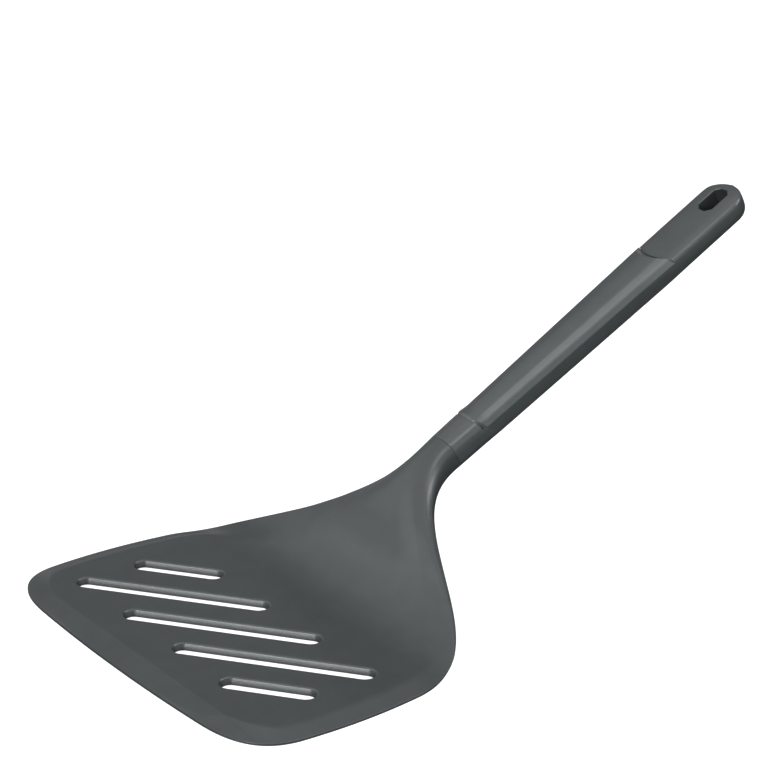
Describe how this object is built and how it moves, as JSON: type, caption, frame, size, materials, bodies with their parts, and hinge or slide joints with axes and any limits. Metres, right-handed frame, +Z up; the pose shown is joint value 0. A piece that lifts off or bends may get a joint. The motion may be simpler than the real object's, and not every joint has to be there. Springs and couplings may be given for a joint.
{
  "type": "slotted turner",
  "caption": "Extra-wide slotted kitchen turner with a cranked neck, a straight handle with a raised grip cover and a hang hole.",
  "frame": {"origin": "on the flat underside of the blade, on its middle line, 14 mm behind the front edge", "axes": "+Y runs from the front edge to the hang end, +Z is up from the table, X runs across the blade"},
  "size_m": [0.1838, 0.3178, 0.1355],
  "materials": {
    "head_nylon": "dark grey heat-proof nylon, fine satin moulding",
    "handle_plastic": "dark grey moulding, satin",
    "cover_plastic": "dark grey soft-sheen moulding, a little lighter and glossier than the head"
  },
  "bodies": {
    "root": {"head": "head_nylon", "handle_body": "handle_plastic", "grip_cover": "cover_plastic"}
  },
  "joints": []
}
